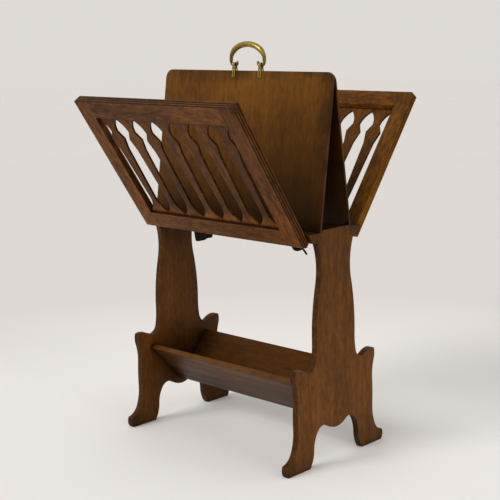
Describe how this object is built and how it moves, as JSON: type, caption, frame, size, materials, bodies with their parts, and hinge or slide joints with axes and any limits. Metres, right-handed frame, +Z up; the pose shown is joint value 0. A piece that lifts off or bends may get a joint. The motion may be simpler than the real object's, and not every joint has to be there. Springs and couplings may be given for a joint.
{
  "type": "atlas stand",
  "caption": "Portable oak atlas stand: shaped standards and a V trough below, two slatted wings that hinge out from a sloping central A-frame, and a brass carrying handle on top.",
  "frame": {"origin": "on the floor under the middle of the bounding box with both wings open; the standards' middle plane lies 7.1 mm in front of it (towards -Y) because the rear wing leans out further", "axes": "+Z up; X along the stand from standard to standard; Y across it, with the front wing at -Y and the rear wing at +Y"},
  "size_m": [0.52, 0.6092, 0.9236],
  "materials": {
    "oak": "stained and waxed oak",
    "brass": "aged brass",
    "iron": "black painted iron"
  },
  "bodies": {
    "stand": {"cross_stay_left": "iron", "cross_stay_right": "iron", "front_hinge_left_rail_leaf": "iron", "front_hinge_right_rail_leaf": "iron", "panel_front": "oak", "panel_rear": "oak", "rear_hinge_left_rail_leaf": "iron", "rear_hinge_right_rail_leaf": "iron", "saddle_left": "brass", "saddle_right": "brass", "shelf_rail_front": "oak", "shelf_rail_rear": "oak", "standard_left": "oak", "standard_right": "oak", "stay_pin": "iron", "trough_board_front": "oak", "trough_board_rear": "oak"},
    "front_wing": {"front_hinge_left_wing_leaf": "iron", "front_hinge_right_wing_leaf": "iron", "front_wing_bottom_rail": "oak", "front_wing_slat_1": "oak", "front_wing_slat_2": "oak", "front_wing_slat_3": "oak", "front_wing_slat_4": "oak", "front_wing_slat_5": "oak", "front_wing_slat_6": "oak", "front_wing_slat_7": "oak", "front_wing_stile_left": "oak", "front_wing_stile_right": "oak", "front_wing_top_rail": "oak"},
    "rear_wing": {"rear_hinge_left_wing_leaf": "iron", "rear_hinge_right_wing_leaf": "iron", "rear_wing_bottom_rail": "oak", "rear_wing_slat_1": "oak", "rear_wing_slat_2": "oak", "rear_wing_slat_3": "oak", "rear_wing_slat_4": "oak", "rear_wing_slat_5": "oak", "rear_wing_slat_6": "oak", "rear_wing_slat_7": "oak", "rear_wing_stile_left": "oak", "rear_wing_stile_right": "oak", "rear_wing_top_rail": "oak"},
    "bail": {"bail": "brass"}
  },
  "joints": [
    {"name": "front_wing_hinge", "type": "hinge", "parent": "stand", "child": "front_wing", "pos_m": [0, -0.09367, 0.5239], "axis": [-1, 0, 0], "range_deg": [0, 41.5]},
    {"name": "rear_wing_hinge", "type": "hinge", "parent": "stand", "child": "rear_wing", "pos_m": [0, 0.07953, 0.5239], "axis": [1, 0, 0], "range_deg": [0, 44.5]},
    {"name": "bail_swing", "type": "hinge", "parent": "stand", "child": "bail", "pos_m": [0, -0.00707, 0.871], "axis": [1, 0, 0], "range_deg": [-146, 146]}
  ]
}
